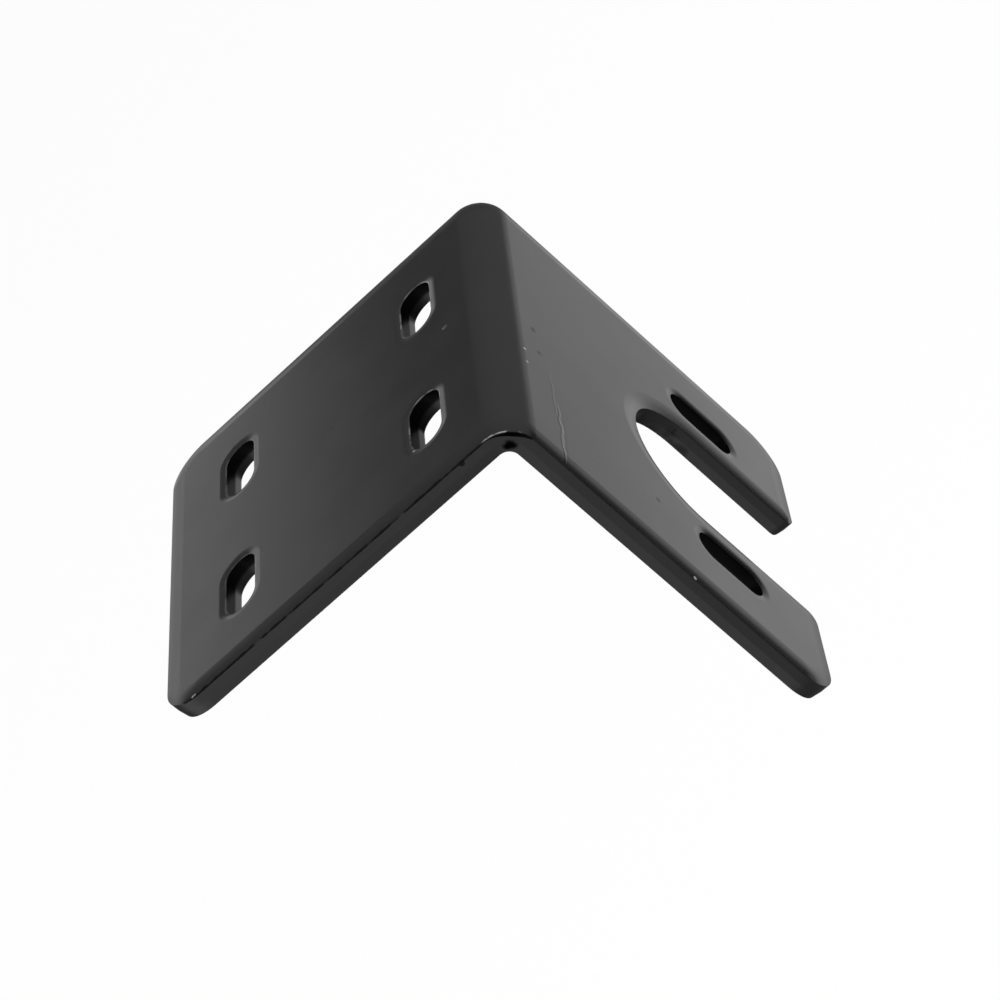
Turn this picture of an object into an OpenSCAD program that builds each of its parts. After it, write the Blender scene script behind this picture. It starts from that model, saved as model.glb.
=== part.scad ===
// Motor mount bracket, punched and folded from one sheet of steel.
// The base plate lies flat with its outer face up, and the fork plate hangs from its front edge.
// X runs along the fold, Y from the fork plate to the free end of the base plate, and Z up.
// The origin is the middle of the four base slots, on the outer face of the base plate.

/* [Sheet] */
// Thickness of the sheet
sheet_t = 2.5; // [1.5:0.1:4]
// Width of both plates, measured along the fold
width = 50; // [44:0.5:80]
// Radius on the inside of the fold
fold_r = 1.3; // [0.5:0.1:4]

/* [Base plate] */
// Length of the base plate, from the outer face of the fork plate to its free end
base_length = 48; // [45:0.5:80]
// Radius of the two corners at the free end
base_corner_r = 4.7; // [3:0.1:8]

/* [Base slots] */
// Distance between slot centres along the fold
base_slot_spacing_x = 23.5; // [16:0.5:26]
// Distance between slot centres along the base plate
base_slot_spacing_y = 26.5; // [12:0.5:28]
// Distance from the free end to the middle of the four slots
base_slot_setback = 24; // [22:0.5:25]
// Length of a base slot from end to end, along the fold
base_slot_length = 9.5; // [6:0.1:12]
// Width of a base slot
base_slot_width = 4.2; // [3.2:0.1:5.5]

/* [Fork plate] */
// Height of the fork plate, from the outer face of the base plate to the tips of the fork
fork_height = 47.5; // [45:0.5:80]
// Width of the gap between the two tines
fork_gap_width = 18; // [12:0.5:20]
// Depth of the gap, from the tips to its round end
fork_gap_depth = 26.2; // [20:0.1:30]
// Radius of each tip's corner on the outside of the fork
tip_outer_r = 5; // [3:0.5:8]
// Radius of each tip's corner beside the gap
tip_inner_r = 1.6; // [0.4:0.1:3]
// Radius of the tips' lower edge, between their end and the inner face
tip_nose_r = 1; // [0.2:0.1:1]

/* [Fork slots] */
// Distance between the two slot centres
fork_slot_spacing = 29; // [27:0.5:34]
// Distance from the tips to the slot centres
fork_slot_setback = 14.2; // [10:0.1:20]
// Length of a fork slot from end to end, along the tine
fork_slot_length = 9.5; // [6:0.1:12]
// Width of a fork slot
fork_slot_width = 4.2; // [3.2:0.1:5.5]

/* [Punched edges] */
// Width of the band that bends down along the outline of the outer faces
edge_roll_width = 2.1; // [0.5:0.1:2.5]
// Depth that this band has dropped at the edge itself
edge_roll_depth = 0.28; // [0.05:0.01:0.4]
// Width of the band that bends down round each slot
slot_roll_width = 0.9; // [0.5:0.1:2.5]
// Depth that this band has dropped at the slot itself
slot_roll_depth = 0.16; // [0.05:0.01:0.4]
// Depth that the torn lower part of each cut face leans back into the sheet, at the inner face
break_lean = 0.15; // [0.02:0.01:0.3]
// Height of that part, measured up from the inner face
break_height = 1.1; // [0.4:0.1:1.2]

/* [Hidden] */
$fn = 96;
STEEL = [0.13, 0.13, 0.135];
// Cutting solids reach this far past the surfaces that they cut
over = 0.3;
// Radius on the outside of the fold
outer_fold_r = fold_r + sheet_t;
// Middle of the base slots, measured from the outer face of the fork plate
base_slot_y = base_length - base_slot_setback;
gap_r = fork_gap_width / 2;
// Centre of the gap's round end, measured from the outer face of the base plate
gap_end_y = fork_height - fork_gap_depth + gap_r;

// A plate is drawn flat: its outer face is at z = 0 with the sheet below it, the other plate's
// outer face is at y = 0, the fold ends at y = outer_fold_r, and x = 0 is the middle.

// Radius of the arc that drops by depth over the width of a band.
function roll_r(band, depth) = (pow(band, 2) + pow(depth, 2)) / (2 * depth);

// Section of the cut that shapes a punched edge: x runs into the sheet from the edge, and y out of
// the outer face. It rolls the outer face down and leans the torn part of the cut face back.
module edge_section(band, depth) {
    slope = break_lean / break_height;
    difference() {
        translate([-over, -depth])
            square([band + over, depth + over]);
        translate([band, -roll_r(band, depth)])
            circle(r = roll_r(band, depth), $fn = 720);
    }
    translate([0, break_height - sheet_t])
        polygon([[-over, 0], [0, 0], [(break_height + over) * slope, -break_height - over],
                 [-over, -break_height - over]]);
}

// Shapes a straight edge that starts at the origin and runs along +y, with the sheet on its +x side.
module edge_straight(length, band = edge_roll_width, depth = edge_roll_depth) {
    translate([0, length, 0])
        rotate([90, 0, 0])
            linear_extrude(length)
                edge_section(band, depth);
}

// Shapes the outside corner of radius r that is centred on the origin, in the +x +y quarter. The band
// ends short of the corner's centre.
module edge_corner(r) {
    rotate_extrude(angle = 90)
        translate([r, 0])
            mirror([1, 0])
                edge_section(min(edge_roll_width, 0.9 * r), edge_roll_depth);
}

// Shapes the half-round end of an opening of radius r: the half with y below 0.
module edge_round_end(r, band = edge_roll_width, depth = edge_roll_depth) {
    rotate([0, 0, 180])
        rotate_extrude(angle = 180)
            translate([r, 0])
                edge_section(band, depth);
}

// Removes the sharp corner outside a radius r: the corner itself is at the origin and the
// plate lies in the -x -y quarter.
module corner_waste(r) {
    difference() {
        translate([-r, -r])
            square(r + over);
        translate([-r, -r])
            circle(r = r);
    }
}

// Outline of a slot that runs along y.
module slot_outline(length, slot_w) {
    half = (length - slot_w) / 2;
    square([slot_w, 2 * half], center = true);
    for (side = [-1, 1])
        translate([0, side * half])
            circle(d = slot_w);
}

// Cuts a slot that runs along y through a plate, and shapes its edge.
module slot_cut(length, slot_w) {
    half = (length - slot_w) / 2;
    r = slot_w / 2;
    translate([0, 0, -sheet_t - over])
        linear_extrude(sheet_t + 2 * over)
            slot_outline(length, slot_w);
    for (turn = [0, 180])
        rotate([0, 0, turn]) {
            translate([r, -half, 0])
                edge_straight(2 * half, slot_roll_width, slot_roll_depth);
            translate([0, -half, 0])
                edge_round_end(r, slot_roll_width, slot_roll_depth);
        }
}

// Shapes both long edges of a plate from the fold to straight_end.
module edge_sides(straight_end) {
    for (side = [0, 1])
        mirror([side, 0, 0])
            translate([-width / 2, outer_fold_r, 0])
                edge_straight(straight_end - outer_fold_r);
}

module plate_blank(length) {
    translate([-width / 2, outer_fold_r, -sheet_t])
        cube([width, length - outer_fold_r, sheet_t]);
}

module base_plate() {
    straight_end = base_length - base_corner_r;
    difference() {
        plate_blank(base_length);
        for (side = [0, 1])
            mirror([side, 0, 0]) {
                translate([width / 2, base_length, -sheet_t - over])
                    linear_extrude(sheet_t + 2 * over)
                        corner_waste(base_corner_r);
                translate([width / 2 - base_corner_r, straight_end, 0])
                    edge_corner(base_corner_r);
            }
        edge_sides(straight_end);
        translate([width / 2 - base_corner_r, base_length, 0])
            mirror([0, 1, 0])
                rotate([0, 0, 90])
                    edge_straight(width - 2 * base_corner_r);
        for (i = [-0.5, 0.5], j = [-0.5, 0.5])
            translate([i * base_slot_spacing_x, base_slot_y + j * base_slot_spacing_y, 0])
                rotate([0, 0, 90])
                    slot_cut(base_slot_length, base_slot_width);
    }
}

module fork_plate() {
    straight_end = fork_height - tip_outer_r;
    tine_w = (width - fork_gap_width) / 2;
    difference() {
        plate_blank(fork_height);
        // The gap between the tines
        translate([0, 0, -sheet_t - over])
            linear_extrude(sheet_t + 2 * over) {
                translate([0, gap_end_y])
                    circle(r = gap_r);
                translate([-gap_r, gap_end_y])
                    square([fork_gap_width, fork_height - gap_end_y + over]);
            }
        translate([0, gap_end_y, 0])
            edge_round_end(gap_r);
        edge_sides(straight_end);
        // The round lower edge of the tips
        translate([-width / 2 - over, fork_height, -sheet_t])
            rotate([90, 0, 90])
                linear_extrude(width + 2 * over)
                    mirror([0, 1])
                        corner_waste(tip_nose_r);
        for (side = [0, 1])
            mirror([side, 0, 0]) {
                translate([gap_r, gap_end_y, 0])
                    edge_straight(fork_height - gap_end_y + over);
                translate([width / 2, fork_height, -sheet_t - over])
                    linear_extrude(sheet_t + 2 * over)
                        corner_waste(tip_outer_r);
                translate([gap_r, fork_height, -sheet_t - over])
                    linear_extrude(sheet_t + 2 * over)
                        mirror([1, 0, 0])
                            corner_waste(tip_inner_r);
                translate([width / 2 - tip_outer_r, straight_end, 0])
                    edge_corner(tip_outer_r);
                translate([gap_r + tip_inner_r, fork_height - tip_inner_r, 0])
                    mirror([1, 0, 0])
                        edge_corner(tip_inner_r);
                translate([width / 2 - tip_outer_r, fork_height, 0])
                    mirror([0, 1, 0])
                        rotate([0, 0, 90])
                            edge_straight(tine_w - tip_outer_r + over);
                translate([fork_slot_spacing / 2, fork_height - fork_slot_setback, 0])
                    slot_cut(fork_slot_length, fork_slot_width);
            }
    }
}

// The quarter turn between the plates, about the axis y = outer_fold_r, z = -outer_fold_r.
module fold() {
    translate([0, outer_fold_r, -outer_fold_r])
        rotate([0, 90, 0])
            rotate([0, 0, 180])
                difference() {
                    rotate_extrude(angle = 90)
                        translate([fold_r, -width / 2])
                            square([sheet_t, width]);
                    for (side = [0, 1])
                        mirror([0, 0, side])
                            rotate_extrude(angle = 90)
                                translate([outer_fold_r, width / 2])
                                    rotate(-90)
                                        edge_section(edge_roll_width, edge_roll_depth);
                }
}

module bracket() {
    color(STEEL)
        translate([0, -base_slot_y, 0]) {
            base_plate();
            fold();
            // The fork plate is the flat plate turned over the line that halves the fold
            mirror([0, 1, 1])
                fork_plate();
        }
}

bracket();
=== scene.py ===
"""Studio scene of a black coated motor mount bracket, folded from one punched steel sheet."""

import logging
import math
from dataclasses import dataclass
from enum import Enum

import bpy
import numpy as np
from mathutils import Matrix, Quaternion, Vector

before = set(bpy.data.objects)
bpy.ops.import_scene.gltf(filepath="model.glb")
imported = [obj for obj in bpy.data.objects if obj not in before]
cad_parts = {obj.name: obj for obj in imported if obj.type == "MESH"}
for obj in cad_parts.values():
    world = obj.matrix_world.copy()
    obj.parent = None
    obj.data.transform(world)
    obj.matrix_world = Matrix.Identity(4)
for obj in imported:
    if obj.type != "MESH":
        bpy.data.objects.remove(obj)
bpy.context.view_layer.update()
LOG = logging.getLogger("bracket_scene")
MM = 0.001
X_AXIS = (1.0, 0.0, 0.0)
# Sine and cosine of 45 degrees
SLANT = 0.7071

Socket = bpy.types.NodeSocket
Value = Socket | float
Pair = tuple[float, float]
Triple = tuple[float, float, float]


def opaque(color: Triple) -> tuple[float, float, float, float]:
    """Gives a colour the fourth number that a colour socket takes.

    Args:
        color: Red, green and blue.

    Returns:
        The colour with full cover.
    """
    return (*color, 1.0)


@dataclass(frozen=True)
class SheetSizes:
    """Sizes of the folded sheet in millimetres, as the solid has them.

    The slots are mirrored about the middle planes, so one middle is given for each kind: x and y for
    the base plate's slots, and x and z for the fork plate's.
    """

    width: float = 50.0
    outer_fold_r: float = 3.8
    front_y: float = -24.0
    base_slot_x: float = 11.75
    base_slot_y: float = 13.25
    fork_slot_x: float = 14.5
    fork_slot_z: float = -33.3


@dataclass(frozen=True)
class Grain:
    """Soft noise.

    Scale counts patches for each unit of place, and detail the finer layers on top. The noise lies
    between 0 and 1, and is multiplied by strength.
    """

    scale: float
    detail: float
    strength: float = 1.0


class NodeBoard:
    """Adds shader nodes to one node tree and wires them.

    FADE is how far past a range the share from within fades.
    """

    FADE = 0.3

    def __init__(self, tree: bpy.types.NodeTree) -> None:
        """Empties the tree.

        Args:
            tree: The node tree of a material or of the world.
        """
        self.tree = tree
        tree.nodes.clear()

    def add(self, kind: str, **inputs: object) -> bpy.types.Node:
        """Adds a node and sets or wires its inputs.

        Args:
            kind: The node's type name without the leading "ShaderNode".
            **inputs: Input names with spaces as underscores; a socket is wired, a value is set.

        Returns:
            The new node.
        """
        node = self.tree.nodes.new("ShaderNode" + kind)
        for name, value in inputs.items():
            self.feed(node.inputs[name.replace("_", " ")], value)
        return node

    def feed(self, socket: Socket, value: object) -> None:
        """Wires a socket to value if value is a socket, and otherwise sets it.

        Args:
            socket: The input socket.
            value: An output socket, or a number, vector or colour.
        """
        if isinstance(value, Socket):
            self.tree.links.new(value, socket)
        else:
            socket.default_value = value

    def math(self, operation: str, *values: Value) -> Socket:
        """Adds a Math node.

        Args:
            operation: Blender's name of the operation.
            *values: Numbers or sockets, one for each operand.

        Returns:
            The node's output socket.
        """
        node = self.tree.nodes.new("ShaderNodeMath")
        node.operation = operation
        for socket, value in zip(node.inputs, values):
            self.feed(socket, value)
        return node.outputs[0]

    def times(self, first: Value, *others: Value) -> Socket:
        """Multiplies numbers.

        Args:
            first: The first factor.
            *others: At least one more factor.

        Returns:
            The product.
        """
        for other in others:
            first = self.math("MULTIPLY", first, other)
        return first

    def gap(self, first: Value, second: Value) -> Socket:
        """Gives the distance between two numbers.

        Args:
            first: One number.
            second: The other number.

        Returns:
            Their difference without its sign.
        """
        return self.math("ABSOLUTE", self.math("SUBTRACT", first, second))

    def vector(self, operation: str, *values: object) -> Socket:
        """Adds a Vector Math node.

        Args:
            operation: Blender's name of the operation.
            *values: Vectors or sockets, one for each operand.

        Returns:
            The number for a length, distance or dot product, and otherwise the vector.
        """
        node = self.tree.nodes.new("ShaderNodeVectorMath")
        node.operation = operation
        for socket, value in zip(node.inputs, values):
            self.feed(socket, value)
        number = operation in ("DOT_PRODUCT", "LENGTH", "DISTANCE")
        return node.outputs["Value" if number else "Vector"]

    def span(self, value: Value, start: Pair, end: Pair) -> Socket:
        """Maps a range smoothly onto another and holds it at both ends.

        Args:
            value: The number to map.
            start: The range that is read, as (low, high).
            end: What low and high become.

        Returns:
            The mapped number.
        """
        node = self.tree.nodes.new("ShaderNodeMapRange")
        node.interpolation_type = "SMOOTHSTEP"
        for socket, number in zip(node.inputs[:5], (value, *start, *end)):
            self.feed(socket, number)
        return node.outputs[0]

    def rise(self, value: Value, start: Pair) -> Socket:
        """Goes from 0 below a range to 1 above it.

        Args:
            value: The number to test.
            start: The range, as (low, high).

        Returns:
            The share from 0 to 1.
        """
        return self.span(value, start, (0.0, 1.0))

    def fall(self, value: Value, start: Pair) -> Socket:
        """Goes from 1 below a range to 0 above it.

        Args:
            value: The number to test.
            start: The range, as (low, high).

        Returns:
            The share from 0 to 1.
        """
        return self.span(value, start, (1.0, 0.0))

    def within(self, value: Value, middle: float, half: float) -> Socket:
        """Gives 1 inside middle plus or minus half, and fades to 0 past both ends.

        Args:
            value: The number to test.
            middle: The middle of the range.
            half: Half the length of the range.

        Returns:
            The share from 0 to 1.
        """
        return self.fall(self.gap(value, middle), (half, half + self.FADE))

    def join(self, x: Value, y: Value, z: Value) -> Socket:
        """Joins three numbers.

        Args:
            x: The vector's x.
            y: The vector's y.
            z: The vector's z.

        Returns:
            The vector.
        """
        return self.add("CombineXYZ", X=x, Y=y, Z=z).outputs[0]

    def noise(self, place: Socket, grain: Grain, base: Value = 0.0) -> Socket:
        """Adds soft noise on top of a number.

        Args:
            place: Where the noise is read.
            grain: The kind of noise.
            base: What the noise is added to.

        Returns:
            A number from base to base plus the grain's strength.
        """
        noise = self.add("TexNoise", Vector=place, Scale=grain.scale, Detail=grain.detail)
        return self.math("MULTIPLY_ADD", noise.outputs[0], grain.strength, base)

    def blend(self, share: Value, first: object, second: object) -> Socket:
        """Mixes two colours.

        Args:
            share: 0 gives the first colour and 1 the second.
            first: A colour or its socket.
            second: A colour or its socket.

        Returns:
            The mixed colour.
        """
        node = self.tree.nodes.new("ShaderNodeMix")
        node.data_type = "RGBA"
        for socket, value in zip((node.inputs[0], node.inputs[6], node.inputs[7]), (share, first, second)):
            self.feed(socket, value)
        return node.outputs[2]


@dataclass(frozen=True)
class SheetPoint:
    """Where on the sheet a shaded point lies, as sockets in millimetres.

    Wide is the distance from the middle plane along the fold. Depth below the nearest outer face
    tells the faces, the rolled rims and the cut faces apart.
    """

    place: Socket
    x: Socket
    y: Socket
    z: Socket
    wide: Socket
    depth: Socket

    @classmethod
    def find(cls, board: NodeBoard, sizes: SheetSizes) -> "SheetPoint":
        """Adds the nodes that find the point.

        The depth is the outer fold radius less the distance past the fold's axis, which holds on
        both plates and round the fold.

        Args:
            board: The board to add to.
            sizes: The sheet's sizes.

        Returns:
            The point.
        """
        place = board.vector("MULTIPLY", board.add("TexCoord").outputs["Object"], (1.0 / MM,) * 3)
        x, y, z = board.add("SeparateXYZ", Vector=place).outputs[:3]
        r = sizes.outer_fold_r
        over = board.math("MAXIMUM", board.math("SUBTRACT", sizes.front_y + r, y), 0.0)
        up = board.math("MAXIMUM", board.math("ADD", z, r), 0.0)
        away = board.vector("LENGTH", board.join(over, up, 0.0))
        return cls(place, x, y, z, board.math("ABSOLUTE", x), board.math("SUBTRACT", r, away))


@dataclass(frozen=True)
class FlawLook:
    """How a small mark looks.

    Height is in millimetres, and below 0 where the mark bites in. The last field is the share of
    painted shade, which darkens the colour and takes away the coating's shine.
    """

    color: Triple
    height: float
    shade_share: float = 0.0


class Flaw(Enum):
    """What a small mark is."""

    # Painted shade in a small pit: nearly black, with little shine.
    PIT = FlawLook((0.001, 0.001, 0.001), -0.004, 0.7)
    # The light chip colour also paints the highlight on the lip.
    CHIP_AND_HIGHLIGHT = FlawLook((0.3, 0.3, 0.29), -0.01)
    NIB = FlawLook((0.05, 0.05, 0.05), 0.02)


@dataclass(frozen=True)
class Mark:
    """One small mark: where it is and how far it reaches, in millimetres."""

    flaw: Flaw
    place: Triple
    reach: float


class Face(Enum):
    """The two outer faces."""

    FORK = "fork"
    BASE = "base"


@dataclass(frozen=True)
class DieLine:
    """A faint line that the bending die left on an outer face, along the fold.

    It lies at one distance from the other plate's outer face, wanders a little, and fades at both
    ends. All sizes are in millimetres.
    """

    face: Face
    along: Pair
    distance: float
    height: float
    half_width: float = 0.22
    fade_in: float = 2.0
    fade_out: float = 3.0

    def build(self, board: NodeBoard, x: Socket, distance: Socket, on_face: Socket) -> Socket:
        """Adds the line.

        Args:
            board: The board to add to.
            x: The place along the fold.
            distance: The distance from the other plate's outer face, with the line's wandering.
            on_face: 1 on the line's face and 0 elsewhere.

        Returns:
            The line's height in millimetres.
        """
        start, end = self.along
        ridge = board.span(board.gap(distance, self.distance), (0.0, self.half_width), (self.height, 0.0))
        return board.times(ridge, on_face, board.rise(x, (start, start + self.fade_in)),
                           board.fall(x, (end - self.fade_out, end)))


@dataclass(frozen=True)
class RimGroove:
    """Painted shade: the dark line in the groove where the outline's rolled rim meets the cut face.

    It is whole and wide round the fold, broken along the base plate and faint along the fork plate.
    Depths, reaches and ranges of place are in millimetres.
    """

    depth: float = 0.33
    fold_extra_depth: float = 0.18
    reach: float = 0.03
    fold_extra_reach: float = 0.16
    ragged: Grain = Grain(1.2, 4.0, 0.12)
    softness: Pair = (-0.02, 0.03)
    outline: Pair = (24.2, 24.5)
    fold_y: Pair = (-22.8, -20.4)
    fold_z: Pair = (-3.6, -1.8)
    plate_z: Pair = (-4.0, -3.0)
    plate_share: Pair = (0.1, 0.62)
    patches: Grain = Grain(0.4, 3.0)
    patch_level: Pair = (0.9, 1.1)
    plate_strength: float = 0.85

    def build(self, board: NodeBoard, point: SheetPoint) -> Socket:
        """Adds the line.

        Args:
            board: The board to add to.
            point: The shaded point.

        Returns:
            The line's strength from 0 to 1.
        """
        fold = board.times(board.fall(point.y, self.fold_y), board.rise(point.z, self.fold_z))
        plate = board.span(point.z, self.plate_z, self.plate_share)
        patches = board.noise(point.place, self.patches, board.math("ADD", plate, fold))
        rim = board.times(board.rise(point.wide, self.outline), board.rise(patches, self.patch_level))
        ragged = board.noise(point.place, self.ragged, self.reach)
        reach = board.math("MULTIPLY_ADD", fold, self.fold_extra_reach, ragged)
        middle = board.math("MULTIPLY_ADD", fold, self.fold_extra_depth, self.depth)
        inside = board.math("SUBTRACT", reach, board.gap(point.depth, middle))
        strength = board.math("MULTIPLY_ADD", fold, 1.0 - self.plate_strength, self.plate_strength)
        return board.times(board.rise(inside, self.softness), rim, strength)


@dataclass(frozen=True)
class LipHighlight:
    """A painted highlight: a light line on the outline's rolled rim, just above the groove.

    Noise breaks it up, less so near the base plate's outer face. Ranges of place are in millimetres.
    """

    outline: Pair = (24.72, 24.82)
    depth: Pair = (0.24, 0.3)
    y: Pair = (-20.6, -19.8)
    z: Pair = (-2.8, -2.2)
    painted_light: Grain = Grain(0.9, 2.0)
    painted_light_level: Pair = (0.6, 0.7)
    near_face_z: Pair = (-2.6, -0.1)
    near_face_light: Pair = (0.0, 0.25)

    def build(self, board: NodeBoard, point: SheetPoint) -> Socket:
        """Adds the painted highlight on the lip.

        Args:
            board: The board to add to.
            point: The shaded point.

        Returns:
            The highlight's strength from 0 to 1.
        """
        near_face = board.span(point.z, self.near_face_z, self.near_face_light)
        lit = board.rise(board.noise(point.place, self.painted_light, near_face), self.painted_light_level)
        lip = board.times(board.rise(point.wide, self.outline), board.fall(point.depth, self.depth))
        return board.times(lip, lit, board.fall(point.y, self.y), board.rise(point.z, self.z))


@dataclass(frozen=True)
class FoldPit:
    """Painted shade in the hollow at the inner corner of the fold's near end, as a rough flat ball.

    Distances across the corner and into the sheet count for less, so the ball is longer that way.
    """

    y: float = -21.7
    z: float = -2.35
    across_share: float = 0.75
    inward_share: float = 0.5
    rough: Grain = Grain(1.5, 3.0, 0.5)
    reach: Pair = (0.55, 0.95)

    def build(self, board: NodeBoard, point: SheetPoint, near_x: float) -> Socket:
        """Adds the painted shade in the hollow.

        Args:
            board: The board to add to.
            point: The shaded point.
            near_x: Where the near cut face lies.

        Returns:
            The painted shade's strength from 0 to 1.
        """
        offset = board.vector("SUBTRACT", point.place, (near_x, self.y, self.z))
        along = board.vector("DOT_PRODUCT", offset, (0.0, SLANT, -SLANT))
        across = board.times(board.vector("DOT_PRODUCT", offset, (0.0, SLANT, SLANT)), self.across_share)
        inward = board.times(board.vector("DOT_PRODUCT", offset, X_AXIS), self.inward_share)
        away = board.vector("LENGTH", board.join(along, across, inward))
        return board.fall(board.noise(point.place, self.rough, away), self.reach)


@dataclass(frozen=True)
class OpeningPaintedLight:
    """Painted shade on the walls inside the openings, and painted highlights on the base slots' edges.

    The painted shade lies on the smooth upper part in the base plate's slots and on the whole wall in
    the fork plate's slots; dark patches lie round the fork gap's end. slot_zone holds half the length
    and half the width of the zone round a slot, and the x and z ranges of the dark patches hold a
    middle and a half length. Depths, reaches and places are in millimetres.
    reaches and places are in millimetres.
    """

    slot_zone: Pair = (5.2, 2.5)
    wall_depth: Pair = (0.16, 0.26)
    base_wall_end: Pair = (1.3, 1.8)
    shade_share: float = 0.85
    edge_depth: float = 0.15
    edge_reach: Pair = (0.025, 0.05)
    edge_y: Pair = (-6.0, 6.0)
    edge_share: Pair = (1.0, 0.3)
    edge_patches: Grain = Grain(0.5, 2.0)
    edge_patch_level: Pair = (0.4, 0.6)
    edge_patch_share: Pair = (0.1, 1.0)
    dark_patches: Grain = Grain(0.35, 3.0)
    dark_patch_level: Pair = (0.48, 0.62)
    dark_patch_share: Pair = (0.0, 0.6)
    dark_patch_x: Pair = (0.0, 9.3)
    dark_patch_z: Pair = (-26.0, 7.0)
    dark_patch_depth: Pair = (0.45, 0.6)

    def base_zone(self, board: NodeBoard, point: SheetPoint, sizes: SheetSizes) -> Socket:
        """Adds the zone round the base plate's slots, which run along x.

        Args:
            board: The board to add to.
            point: The shaded point.
            sizes: The sheet's sizes.

        Returns:
            1 in the zone and 0 elsewhere.
        """
        half_length, half_width = self.slot_zone
        return board.times(board.within(point.wide, sizes.base_slot_x, half_length),
                           board.within(board.math("ABSOLUTE", point.y), sizes.base_slot_y, half_width))

    def fork_zone(self, board: NodeBoard, point: SheetPoint, sizes: SheetSizes) -> Socket:
        """Adds the zone round the fork plate's slots, which run along z.

        Args:
            board: The board to add to.
            point: The shaded point.
            sizes: The sheet's sizes.

        Returns:
            1 in the zone and 0 elsewhere.
        """
        half_length, half_width = self.slot_zone
        return board.times(board.within(point.wide, sizes.fork_slot_x, half_width),
                           board.within(point.z, sizes.fork_slot_z, half_length))

    def walls(self, board: NodeBoard, point: SheetPoint, sizes: SheetSizes) -> Socket:
        """Adds the painted shade on the walls, and the dark patches.

        Args:
            board: The board to add to.
            point: The shaded point.
            sizes: The sheet's sizes.

        Returns:
            How strongly the surface is darkened, from 0 to 1.
        """
        # Painted shade on the slot walls.
        base = board.times(self.base_zone(board, point, sizes), board.fall(point.depth, self.base_wall_end))
        slots = board.math("MAXIMUM", base, self.fork_zone(board, point, sizes))
        slots = board.times(slots, board.rise(point.depth, self.wall_depth))
        dark_patches = board.span(board.noise(point.place, self.dark_patches), self.dark_patch_level, self.dark_patch_share)
        dark_patches = board.times(dark_patches, board.within(point.wide, *self.dark_patch_x),
                              board.within(point.z, *self.dark_patch_z),
                              board.rise(point.depth, self.dark_patch_depth))
        return board.times(board.math("MAXIMUM", slots, dark_patches), self.shade_share)

    def edges(self, board: NodeBoard, point: SheetPoint, sizes: SheetSizes) -> Socket:
        """Adds the painted highlights on the base slots' edges, which noise breaks up and which fade
        towards +Y.

        Args:
            board: The board to add to.
            point: The shaded point.
            sizes: The sheet's sizes.

        Returns:
            The highlights' strength from 0 to 1.
        """
        patches = board.noise(point.place, self.edge_patches)
        return board.times(board.fall(board.gap(point.depth, self.edge_depth), self.edge_reach),
                           self.base_zone(board, point, sizes),
                           board.span(point.y, self.edge_y, self.edge_share),
                           board.span(patches, self.edge_patch_level, self.edge_patch_share))


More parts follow.
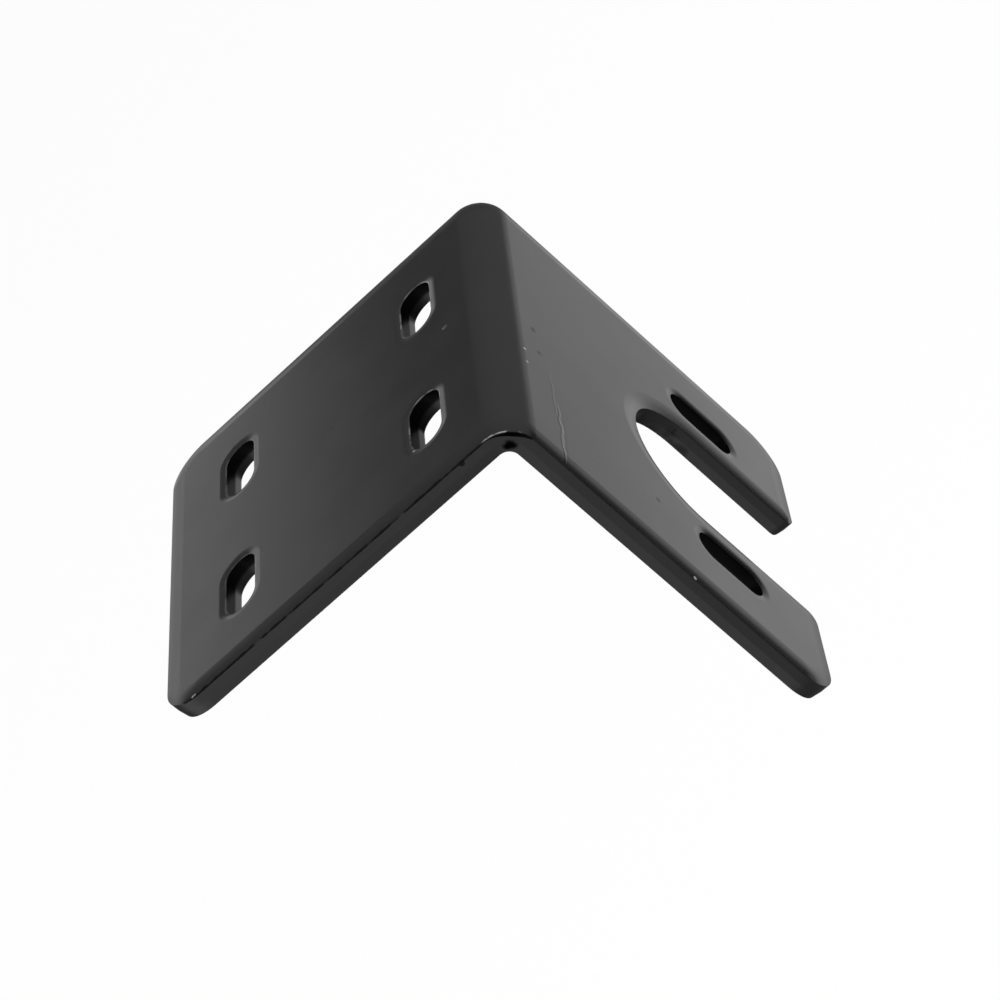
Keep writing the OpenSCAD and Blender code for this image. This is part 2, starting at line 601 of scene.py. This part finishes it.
@dataclass(frozen=True)
class SatinBlackCoat:
    """A thin satin black coating over a punched and folded sheet, with its small marks, painted shade and
    painted highlights.

    The strengths of the waves, the peel, the streaks and the wandering are in millimetres, and so
    are heights, depths, radii and places.
    """

    sizes: SheetSizes
    name: str = "black_coat"
    color: Triple = (0.006, 0.006, 0.0061)
    color_patches: Grain = Grain(0.2, 3.0)
    color_levels: Pair = (0.65, 1.35)
    # Colour of the painted highlights on the base slots' edges.
    highlight_color: Triple = (0.13, 0.13, 0.13)
    roughness: float = 0.22
    roughness_drift: Grain = Grain(0.12, 2.0, 0.08)
    torn_roughness: float = 0.36
    torn_depth: Pair = (0.3, 0.5)
    inner_face_depth: Pair = (2.3, 2.45)
    ior: float = 1.5
    specular: float = 0.5
    rim_r: float = 0.1
    waves: Grain = Grain(0.18, 1.0, 0.006)
    peel: Grain = Grain(1.1, 2.0, 0.0012)
    streaks: Grain = Grain(1.6, 3.0, 0.006)
    groove_height: float = -0.01
    # Painted shade in the groove, the fold's hollow and the openings' walls; painted highlights on the lip
    # and the base slots' edges.
    groove: RimGroove = RimGroove()
    lip: LipHighlight = LipHighlight()
    pit: FoldPit = FoldPit()
    painted_light: OpeningPaintedLight = OpeningPaintedLight()
    fork_face_y: Pair = (-23.9, -23.6)
    base_face_z: Pair = (-0.3, -0.2)
    wander: Grain = Grain(0.3, 2.0, 1.4)
    die_lines: tuple[DieLine, ...] = (
        DieLine(Face.FORK, (-25.5, -12.0), 7.7, 0.022),
        DieLine(Face.FORK, (-24.0, -14.0), 8.1, -0.012),
        DieLine(Face.FORK, (-17.0, -6.0), 7.3, 0.012),
        DieLine(Face.BASE, (-21.0, 3.0), 7.2, 0.003),
    )
    mark_edge: Grain = Grain(2.5, 2.0, 0.5)
    mark_edge_base: float = 0.75
    mark_core: float = 0.6
    marks: tuple[Mark, ...] = (
        Mark(Flaw.CHIP_AND_HIGHLIGHT, (-24.8, 20.9, -0.2), 0.16),
        Mark(Flaw.CHIP_AND_HIGHLIGHT, (-24.8, 20.2, -0.22), 0.22),
        Mark(Flaw.CHIP_AND_HIGHLIGHT, (-24.8, 19.9, -0.22), 0.2),
        Mark(Flaw.CHIP_AND_HIGHLIGHT, (-24.7, -24.0, -10.5), 0.2),
        Mark(Flaw.CHIP_AND_HIGHLIGHT, (-24.8, -23.8, -26.4), 0.25),
        Mark(Flaw.CHIP_AND_HIGHLIGHT, (-16.0, -11.5, -0.1), 0.22),
        Mark(Flaw.CHIP_AND_HIGHLIGHT, (-6.6, -24.0, -3.8), 0.24),
        Mark(Flaw.CHIP_AND_HIGHLIGHT, (-9.2, -24.0, -3.9), 0.2),
        Mark(Flaw.NIB, (2.4, -17.1, 0.0), 0.4),
        Mark(Flaw.PIT, (-25.0, -17.1, -0.45), 0.4),
        Mark(Flaw.PIT, (2.2, -0.8, 0.0), 0.3),
        Mark(Flaw.PIT, (-6.9, -21.6, 0.0), 0.3),
        Mark(Flaw.PIT, (-0.3, -24.0, -5.6), 0.5),
        Mark(Flaw.PIT, (-4.7, -24.0, -6.0), 0.4),
        Mark(Flaw.PIT, (-14.9, -24.0, -22.2), 0.45),
    )

    def build(self) -> bpy.types.Material:
        """Builds the material.

        Returns:
            The new material.
        """
        material = bpy.data.materials.new(self.name)
        material.use_nodes = True
        board = NodeBoard(material.node_tree)
        point = SheetPoint.find(board, self.sizes)
        off_inner_face = board.fall(point.depth, self.inner_face_depth)
        cut = board.times(board.rise(point.depth, self.torn_depth), off_inner_face)
        near_x = -0.5 * self.sizes.width
        # Painted shade in the rim groove and the fold's hollow, and on the openings' walls.
        groove = board.math("MAXIMUM", self.groove.build(board, point),
                            self.pit.build(board, point, near_x))
        walls = board.times(self.painted_light.walls(board, point, self.sizes), off_inner_face)
        color, height, painted_shade = self.marked(board, point, groove, board.math("MAXIMUM", groove, walls))
        # Painted shade in the groove, the fold's hollow, the openings' walls and the small pits, with the
        # dark patches, turns the colour towards the pit's black.
        color = board.blend(painted_shade, color, opaque(Flaw.PIT.value.color))
        # Painted highlight: a light line on the lip above the groove, in the chip colour.
        color = board.blend(self.lip.build(board, point), color, opaque(Flaw.CHIP_AND_HIGHLIGHT.value.color))
        # Painted highlight: light lines on the base slots' edges.
        color = board.blend(self.painted_light.edges(board, point, self.sizes), color, opaque(self.highlight_color))
        height = board.math("ADD", height, self.die_marks(board, point))
        height = board.math("ADD", height, self.texture(board, point, cut))
        shader = board.add("BsdfPrincipled", Base_Color=color)
        shader.inputs["IOR"].default_value = self.ior
        smoothest = self.roughness - 0.5 * self.roughness_drift.strength
        rough = board.noise(point.place, self.roughness_drift, smoothest)
        rough = board.math("MULTIPLY_ADD", cut, self.torn_roughness - self.roughness, rough)
        board.feed(shader.inputs["Roughness"], rough)
        # Painted shade also takes the coating's shine away.
        shine = board.math("MULTIPLY_ADD", painted_shade, -self.specular, self.specular)
        board.feed(shader.inputs["Specular IOR Level"], shine)
        soft_rim = board.add("Bevel", Radius=self.rim_r * MM)
        bump = board.add("Bump", Height=height, Normal=soft_rim.outputs[0])
        bump.inputs["Distance"].default_value = MM
        board.feed(shader.inputs["Normal"], bump.outputs[0])
        board.add("OutputMaterial", Surface=shader.outputs[0])
        return material

    def marked(self, board: NodeBoard, point: SheetPoint, groove: Socket,
               painted_shade: Socket) -> tuple[Socket, Socket, Socket]:
        """Adds the coating's colour with its small marks.

        Args:
            board: The board to add to.
            point: The shaded point.
            groove: The strength of the painted shade in the groove and the hollow, which bite in.
            painted_shade: How strongly painted shade darkens the surface without the marks, from 0 to 1.

        Returns:
            The colour, the height in millimetres, and how strongly painted shade darkens the surface with
            the marks.
        """
        dark, light = (opaque(tuple(level * part for part in self.color)) for level in self.color_levels)
        color = board.blend(board.noise(point.place, self.color_patches), dark, light)
        height = board.times(groove, self.groove_height)
        edge = board.noise(point.place, self.mark_edge, self.mark_edge_base)
        for mark in self.marks:
            look = mark.flaw.value
            away = board.times(board.vector("DISTANCE", point.place, mark.place), edge)
            spot = board.fall(away, (self.mark_core * mark.reach, mark.reach))
            color = board.blend(spot, color, opaque(look.color))
            height = board.math("MULTIPLY_ADD", spot, look.height, height)
            # A pit adds its painted shade.
            if look.shade_share > 0.0:
                painted_shade = board.math("MAXIMUM", painted_shade, board.times(spot, look.shade_share))
        return color, height, painted_shade

    def die_marks(self, board: NodeBoard, point: SheetPoint) -> Socket:
        """Adds the bending die's lines on both outer faces.

        Args:
            board: The board to add to.
            point: The shaded point.

        Returns:
            Their height in millimetres.
        """
        wander = board.noise(point.place, self.wander, -0.5 * self.wander.strength)
        faces = {
            Face.FORK: (board.times(point.z, -1.0), board.fall(point.y, self.fork_face_y)),
            Face.BASE: (board.math("SUBTRACT", point.y, self.sizes.front_y),
                        board.rise(point.z, self.base_face_z)),
        }
        height = 0.0
        for line in self.die_lines:
            distance, on_face = faces[line.face]
            ridge = line.build(board, point.x, board.math("ADD", distance, wander), on_face)
            height = board.math("ADD", height, ridge)
        return height

    def texture(self, board: NodeBoard, point: SheetPoint, cut: Socket) -> Socket:
        """Adds the coating's slow waves and fine peel, and the rougher streaks of the cut faces.

        Args:
            board: The board to add to.
            point: The shaded point.
            cut: 1 on the cut faces and 0 elsewhere.

        Returns:
            The height in millimetres.
        """
        peel = board.noise(point.place, self.peel, board.noise(point.place, self.waves))
        return board.math("MULTIPLY_ADD", board.noise(point.place, self.streaks), cut, peel)


@dataclass
class Bracket:
    """The folded sheet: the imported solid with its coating."""

    node: str = "bracket"
    sizes: SheetSizes = SheetSizes()

    def dress(self) -> bpy.types.Object:
        """Gives the solid its coating.

        Returns:
            The solid's object.
        """
        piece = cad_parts[self.node]
        material = SatinBlackCoat(self.sizes).build()
        for slot in piece.material_slots:
            slot.material = material
        return piece


def grid_piece(name: str, points: np.ndarray) -> bpy.types.Object:
    """Makes a mesh object from a grid of points.

    Vertex (i, j) of an m by n grid has index i * n + j, and each quad joins (i, j), (i+1, j),
    (i+1, j+1) and (i, j+1).

    Args:
        name: The object's name.
        points: An m by n by 3 array in metres.

    Returns:
        The new object, linked to the scene.
    """
    m, n = points.shape[:2]
    i, j = np.meshgrid(np.arange(m - 1), np.arange(n - 1), indexing="ij")
    first = i * n + j
    quads = np.stack([first, first + n, first + n + 1, first + 1], axis=-1).reshape(-1, 4)
    mesh = bpy.data.meshes.new(name)
    mesh.from_pydata(points.reshape(-1, 3).tolist(), [], quads.tolist())
    piece = bpy.data.objects.new(name, mesh)
    bpy.context.scene.collection.objects.link(piece)
    return piece


@dataclass
class PaleFloor:
    """A large pale floor, far enough below the hanging part to keep its shadow soft."""

    name: str = "pale_floor"
    height: float = -0.7
    half_width: float = 12.0
    points: int = 13
    color: Triple = (0.97, 0.97, 0.97)

    def build(self) -> bpy.types.Object:
        """Builds the floor as a flat grid: x and y run evenly from edge to edge at one height.

        Returns:
            The floor's object.
        """
        steps = np.linspace(-self.half_width, self.half_width, self.points)
        x, y = np.meshgrid(steps, steps, indexing="ij")
        piece = grid_piece(self.name, np.stack([x, y, np.full_like(x, self.height)], axis=-1))
        material = bpy.data.materials.new(self.name)
        material.use_nodes = True
        board = NodeBoard(material.node_tree)
        shader = board.add("BsdfDiffuse")
        shader.inputs["Color"].default_value = opaque(self.color)
        board.add("OutputMaterial", Surface=shader.outputs[0])
        piece.data.materials.append(material)
        return piece


@dataclass(frozen=True)
class Panel:
    """A round patch of even light on the tent, with a soft rim from inner to outer.

    Both are distances on a tent of radius 1.
    """

    toward: Triple
    inner: float
    outer: float
    light: float


@dataclass
class LightTent:
    """A graded light tent round the part that only mirrored rays meet.

    Its front is bright up to a horizon and dark above it. Its brightness there follows the height
    along the tent's own axis, as a share of the radius from -1 to 1, and runs straight from each
    step to the next. Its back, towards -X, is soft and fades downwards. Round panels lie over both.
    """

    name: str = "light_tent"
    radius: float = 0.6
    azimuth_points: int = 65
    elevation_points: int = 33
    axis: Triple = (0.0, -0.7314, 0.682)
    down: Triple = (0.0, -SLANT, -SLANT)
    steps: tuple[Pair, ...] = (
        (-1.0, 0.0), (-0.6, 0.25), (-0.4, 0.35), (-0.25, 0.55), (-0.16, 0.95), (-0.1, 1.05), (-0.06, 0.9),
        (-0.03, 0.3), (0.0, 0.0), (0.04, 0.05), (0.1, 0.18), (0.2, 0.24), (0.4, 0.32), (1.0, 0.57),
    )
    panels: tuple[Panel, ...] = (
        Panel((1.0, 0.0, 0.0), 0.32, 0.44, 0.18),
        Panel((0.87, -0.33, -0.35), 0.04, 0.2, 0.62),
        Panel((0.73, -0.51, -0.44), 0.1, 0.2, 0.5),
        Panel((0.55, -0.75, -0.4), 0.15, 0.3, 0.0),
        Panel((0.7, 0.36, 0.62), 0.1, 0.22, 0.25),
        Panel((0.85, 0.5, 0.17), 0.08, 0.17, 0.52),
        Panel((0.85, 0.53, 0.0), 0.05, 0.13, 1.2),
        Panel((-0.73, 0.56, -0.4), 0.08, 0.2, 0.45),
        Panel((-0.66, 0.42, -0.62), 0.12, 0.24, 0.85),
    )
    seam: Pair = (-0.25, 0.25)
    back_fade: Pair = (0.05, 0.16)
    back_light: Pair = (0.92, 0.2)

    def build(self) -> bpy.types.Object:
        """Builds the tent as a sphere: azimuth runs round the upright axis and elevation from pole to pole.

        Returns:
            The tent's object.
        """
        azimuth = np.linspace(-np.pi, np.pi, self.azimuth_points)
        elevation = np.linspace(-np.pi / 2, np.pi / 2, self.elevation_points)
        a, e = np.meshgrid(azimuth, elevation, indexing="ij")
        points = self.radius * np.stack([np.cos(a) * np.cos(e), np.sin(a) * np.cos(e), np.sin(e)], axis=-1)
        piece = grid_piece(self.name, points)
        piece.data.materials.append(self.glow())
        piece.visible_camera = False
        piece.visible_diffuse = False
        piece.visible_shadow = False
        piece.visible_transmission = False
        piece.visible_volume_scatter = False
        return piece

    def glow(self) -> bpy.types.Material:
        """Builds the tent's graded light. The ramp's 0 to 1 stands for the heights from -1 to 1.

        Returns:
            The new material.
        """
        material = bpy.data.materials.new(self.name)
        material.use_nodes = True
        board = NodeBoard(material.node_tree)
        unit = board.vector("NORMALIZE", board.add("TexCoord").outputs["Object"])
        height = board.vector("DOT_PRODUCT", unit, self.axis)
        ramp = board.add("ValToRGB", Fac=board.math("MULTIPLY_ADD", height, 0.5, 0.5))
        stops = ramp.color_ramp.elements
        while len(stops) < len(self.steps):
            stops.new(1.0)
        for stop, (level, light) in zip(stops, self.steps):
            stop.position = 0.5 * level + 0.5
            stop.color = opaque((light,) * 3)
        front = board.rise(board.vector("DOT_PRODUCT", unit, X_AXIS), self.seam)
        lowness = board.vector("DOT_PRODUCT", unit, self.down)
        back_light = board.span(lowness, self.back_fade, self.back_light)
        color = board.blend(front, back_light, ramp.outputs[0])
        for panel in self.panels:
            away = board.vector("DISTANCE", unit, Vector(panel.toward).normalized())
            cover = board.fall(away, (panel.inner, panel.outer))
            color = board.blend(cover, color, opaque((panel.light,) * 3))
        emission = board.add("Emission", Color=color)
        board.add("OutputMaterial", Surface=emission.outputs[0])
        return material


@dataclass
class StudioCamera:
    """The camera: it looks down on the base plate past the fold, and is rolled over.

    Aim, distance, lens and sensor are in millimetres, angles in degrees and the clipping in metres.
    """

    name: str = "studio_camera"
    aim: Triple = (4.16, -6.02, -19.6)
    distance: float = 393.0
    azimuth: float = 290.28
    elevation: float = 23.6
    roll: float = 49.54
    lens: float = 133.9
    sensor_width: float = 36.0
    clip: Pair = (0.01, 100.0)

    def build(self) -> bpy.types.Object:
        """Builds the camera and makes it the scene's.

        Returns:
            The camera's object.
        """
        az, el = math.radians(self.azimuth), math.radians(self.elevation)
        back = Vector((math.sin(az) * math.cos(el), -math.cos(az) * math.cos(el), math.sin(el)))
        data = bpy.data.cameras.new(self.name)
        data.lens = self.lens
        data.sensor_width = self.sensor_width
        data.clip_start, data.clip_end = self.clip
        camera = bpy.data.objects.new(self.name, data)
        camera.location = Vector(self.aim) * MM + back * self.distance * MM
        camera.rotation_mode = "QUATERNION"
        level = (-back).to_track_quat("-Z", "Y")
        camera.rotation_quaternion = level @ Quaternion((0.0, 0.0, 1.0), math.radians(-self.roll))
        bpy.context.scene.collection.objects.link(camera)
        bpy.context.scene.camera = camera
        return camera


@dataclass
class StudioLight:
    """White surroundings and one large soft lamp overhead. Lengths are in metres."""

    world_name: str = "studio_world"
    world_color: Triple = (1.0, 1.0, 1.0)
    world_strength: float = 1.0
    lamp_name: str = "overhead_lamp"
    lamp_power: float = 3.0
    lamp_size: float = 1.2
    lamp_place: Triple = (-0.5, -0.3, 1.6)

    def build(self) -> bpy.types.Object:
        """Builds the world and the lamp.

        Returns:
            The lamp's object.
        """
        world = bpy.data.worlds.new(self.world_name)
        world.use_nodes = True
        board = NodeBoard(world.node_tree)
        glow = board.add("Background")
        glow.inputs["Color"].default_value = opaque(self.world_color)
        glow.inputs["Strength"].default_value = self.world_strength
        board.add("OutputWorld", Surface=glow.outputs[0])
        bpy.context.scene.world = world
        data = bpy.data.lights.new(self.lamp_name, "AREA")
        data.shape = "DISK"
        data.size = self.lamp_size
        data.energy = self.lamp_power
        lamp = bpy.data.objects.new(self.lamp_name, data)
        lamp.visible_glossy = False
        lamp.location = self.lamp_place
        lamp.rotation_mode = "QUATERNION"
        lamp.rotation_quaternion = (-Vector(self.lamp_place)).to_track_quat("-Z", "Y")
        bpy.context.scene.collection.objects.link(lamp)
        return lamp


def main() -> None:
    logging.basicConfig(level=logging.INFO)
    bpy.context.scene.view_settings.view_transform = "Standard"
    makers = (Bracket().dress, PaleFloor().build, LightTent().build, StudioCamera().build,
              StudioLight().build)
    for maker in makers:
        LOG.info("built %s", maker().name)


if __name__ == "__main__":
    main()
